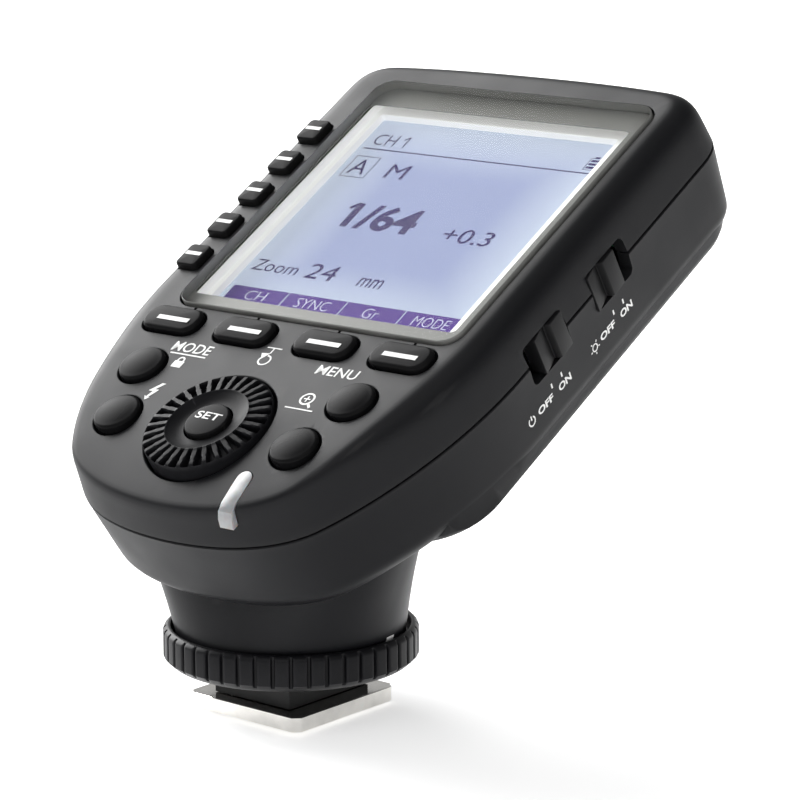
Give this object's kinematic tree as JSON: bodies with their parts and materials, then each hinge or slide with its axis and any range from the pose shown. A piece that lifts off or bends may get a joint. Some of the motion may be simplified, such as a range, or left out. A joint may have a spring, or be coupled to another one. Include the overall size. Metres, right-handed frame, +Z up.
{
  "type": "wireless flash trigger",
  "caption": "Hot-shoe radio transmitter: tilted head with square display, dial and keys, on a neck with a knurled lock ring and metal shoe foot.",
  "frame": {"origin": "centre of the foot plate's underside, the face that rests in the camera's shoe", "axes": "+Z up away from the camera, +Y towards the subject (the far, raised end of the display), +X to the user's right"},
  "size_m": [0.0586, 0.084, 0.0753],
  "materials": {
    "case_plastic": "satin",
    "button_plastic": "gloss",
    "dial_plastic": "satin",
    "ring_plastic": "satin",
    "window_acrylic": "gloss",
    "bezel_white": "satin",
    "lcd_glass": "satin",
    "diffuser": "satin",
    "circuit_board": "satin",
    "membrane_rubber": "matt",
    "clear_pipe": "gloss",
    "lamp_red": "gloss",
    "led_red": "gloss",
    "battery_sleeve": "satin",
    "nickel_steel": "polished",
    "foot_metal": "polished",
    "gold_contact": "polished",
    "jack_plastic": "satin"
  },
  "bodies": {
    "housing": {"upper_case": "case_plastic", "lower_case": "case_plastic", "display_window": "window_acrylic", "display_bezel": "bezel_white", "lcd_panel": "lcd_glass", "lcd_backlight": "diffuser", "main_board": "circuit_board", "keypad_membrane": "membrane_rubber", "side_keypad_membrane": "membrane_rubber", "dial_encoder": "dial_plastic", "status_light_pipe": "clear_pipe", "power_switch_body": "nickel_steel", "lamp_switch_body": "nickel_steel", "radio_board": "circuit_board", "antenna": "gold_contact", "battery_1": "battery_sleeve", "battery_2": "battery_sleeve", "battery_spring_1": "nickel_steel", "battery_spring_2": "nickel_steel", "battery_contact_1": "nickel_steel", "battery_contact_2": "nickel_steel", "door_hinge_pin": "nickel_steel", "case_screw_1": "nickel_steel", "case_screw_2": "nickel_steel", "case_screw_3": "nickel_steel", "case_screw_4": "nickel_steel", "usb_socket": "nickel_steel", "sync_jack": "jack_plastic", "focus_lamp_window": "lamp_red", "focus_lamp_led": "led_red", "foot_plate": "foot_metal", "foot_block": "ring_plastic", "foot_screw_1": "nickel_steel", "foot_screw_2": "nickel_steel"},
    "function_button_1": {"function_button_1": "button_plastic"},
    "function_button_2": {"function_button_2": "button_plastic"},
    "function_button_3": {"function_button_3": "button_plastic"},
    "function_button_4": {"function_button_4": "button_plastic"},
    "mode_button": {"mode_button": "button_plastic"},
    "test_button": {"test_button": "button_plastic"},
    "menu_button": {"menu_button": "button_plastic"},
    "zoom_button": {"zoom_button": "button_plastic"},
    "group_button_1": {"group_button_1": "button_plastic"},
    "group_button_2": {"group_button_2": "button_plastic"},
    "group_button_3": {"group_button_3": "button_plastic"},
    "group_button_4": {"group_button_4": "button_plastic"},
    "group_button_5": {"group_button_5": "button_plastic"},
    "set_button": {"set_button": "button_plastic"},
    "control_dial": {"control_dial": "dial_plastic"},
    "power_switch": {"power_switch_knob": "dial_plastic"},
    "lamp_switch": {"lamp_switch_knob": "dial_plastic"},
    "battery_door": {"battery_door": "case_plastic"},
    "door_latch": {"door_latch": "case_plastic"},
    "pressure_plate": {"pressure_plate": "ring_plastic"},
    "lock_ring": {"lock_ring": "ring_plastic"},
    "locking_pin": {"locking_pin": "nickel_steel"},
    "centre_contact": {"centre_contact": "gold_contact"},
    "data_contact_1": {"data_contact_1": "gold_contact"},
    "data_contact_2": {"data_contact_2": "gold_contact"},
    "data_contact_3": {"data_contact_3": "gold_contact"}
  },
  "joints": [
    {"name": "function_button_1_press", "type": "slide", "parent": "housing", "child": "function_button_1", "axis": [0, 0.5045, -0.8634], "range_m": [0, 0.0006], "stiffness_N_per_m": 400, "springref_m": -0.003},
    {"name": "function_button_2_press", "type": "slide", "parent": "housing", "child": "function_button_2", "axis": [0, 0.5045, -0.8634], "range_m": [0, 0.0006], "stiffness_N_per_m": 400, "springref_m": -0.003},
    {"name": "function_button_3_press", "type": "slide", "parent": "housing", "child": "function_button_3", "axis": [0, 0.5045, -0.8634], "range_m": [0, 0.0006], "stiffness_N_per_m": 400, "springref_m": -0.003},
    {"name": "function_button_4_press", "type": "slide", "parent": "housing", "child": "function_button_4", "axis": [0, 0.5045, -0.8634], "range_m": [0, 0.0006], "stiffness_N_per_m": 400, "springref_m": -0.003},
    {"name": "mode_button_press", "type": "slide", "parent": "housing", "child": "mode_button", "axis": [0, 0.5045, -0.8634], "range_m": [0, 0.0006], "stiffness_N_per_m": 400, "springref_m": -0.003},
    {"name": "test_button_press", "type": "slide", "parent": "housing", "child": "test_button", "axis": [0, 0.5045, -0.8634], "range_m": [0, 0.0006], "stiffness_N_per_m": 400, "springref_m": -0.003},
    {"name": "menu_button_press", "type": "slide", "parent": "housing", "child": "menu_button", "axis": [0, 0.5045, -0.8634], "range_m": [0, 0.0006], "stiffness_N_per_m": 400, "springref_m": -0.003},
    {"name": "zoom_button_press", "type": "slide", "parent": "housing", "child": "zoom_button", "axis": [0, 0.5045, -0.8634], "range_m": [0, 0.0006], "stiffness_N_per_m": 400, "springref_m": -0.003},
    {"name": "group_button_1_press", "type": "slide", "parent": "housing", "child": "group_button_1", "axis": [0, 0.5045, -0.8634], "range_m": [0, 0.0006], "stiffness_N_per_m": 400, "springref_m": -0.003},
    {"name": "group_button_2_press", "type": "slide", "parent": "housing", "child": "group_button_2", "axis": [0, 0.5045, -0.8634], "range_m": [0, 0.0006], "stiffness_N_per_m": 400, "springref_m": -0.003},
    {"name": "group_button_3_press", "type": "slide", "parent": "housing", "child": "group_button_3", "axis": [0, 0.5045, -0.8634], "range_m": [0, 0.0006], "stiffness_N_per_m": 400, "springref_m": -0.003},
    {"name": "group_button_4_press", "type": "slide", "parent": "housing", "child": "group_button_4", "axis": [0, 0.5045, -0.8634], "range_m": [0, 0.0006], "stiffness_N_per_m": 400, "springref_m": -0.003},
    {"name": "group_button_5_press", "type": "slide", "parent": "housing", "child": "group_button_5", "axis": [0, 0.5045, -0.8634], "range_m": [0, 0.0006], "stiffness_N_per_m": 400, "springref_m": -0.003},
    {"name": "set_button_press", "type": "slide", "parent": "housing", "child": "set_button", "axis": [0, 0.5045, -0.8634], "range_m": [0, 0.0006], "stiffness_N_per_m": 400, "springref_m": -0.003},
    {"name": "control_dial_turn", "type": "hinge", "parent": "housing", "child": "control_dial", "pos_m": [0, -0.0144, 0.0388], "axis": [0, -0.5045, 0.8634], "continuous": true},
    {"name": "power_switch_slide", "type": "slide", "parent": "housing", "child": "power_switch", "axis": [0, 0.8634, 0.5045], "range_m": [-0.0022, 0]},
    {"name": "lamp_switch_slide", "type": "slide", "parent": "housing", "child": "lamp_switch", "axis": [0, 0.8634, 0.5045], "range_m": [0, 0.0022]},
    {"name": "battery_door_swing", "type": "hinge", "parent": "housing", "child": "battery_door", "pos_m": [0, 0.05797, 0.0541], "axis": [1, 0, 0], "range_deg": [0, 100]},
    {"name": "door_latch_slide", "type": "slide", "parent": "battery_door", "child": "door_latch", "axis": [0, 0.8634, 0.5045], "range_m": [0, 0.0018]},
    {"name": "lock_ring_turn", "type": "hinge", "parent": "pressure_plate", "child": "lock_ring", "pos_m": [0, 0, 0.0084], "axis": [0, 0, -1], "range_deg": [0, 360]},
    {"name": "pressure_plate_drop", "type": "slide", "parent": "housing", "child": "pressure_plate", "axis": [0, 0, -1], "range_m": [0, 0.00201]},
    {"name": "locking_pin_drop", "type": "slide", "parent": "housing", "child": "locking_pin", "axis": [0, 0, -1], "range_m": [0, 0.00131]},
    {"name": "centre_contact_press", "type": "slide", "parent": "housing", "child": "centre_contact", "axis": [0, 0, 1], "range_m": [0, 0.00045], "stiffness_N_per_m": 300, "springref_m": -0.0015},
    {"name": "data_contact_1_press", "type": "slide", "parent": "housing", "child": "data_contact_1", "axis": [0, 0, 1], "range_m": [0, 0.00045], "stiffness_N_per_m": 300, "springref_m": -0.0015},
    {"name": "data_contact_2_press", "type": "slide", "parent": "housing", "child": "data_contact_2", "axis": [0, 0, 1], "range_m": [0, 0.00045], "stiffness_N_per_m": 300, "springref_m": -0.0015},
    {"name": "data_contact_3_press", "type": "slide", "parent": "housing", "child": "data_contact_3", "axis": [0, 0, 1], "range_m": [0, 0.00045], "stiffness_N_per_m": 300, "springref_m": -0.0015}
  ],
  "couplings": [
    {"joint": "pressure_plate_drop", "follows": "lock_ring_turn", "m_per_rad": 0.00031831},
    {"joint": "locking_pin_drop", "follows": "lock_ring_turn", "m_per_rad": 0.0002069}
  ]
}
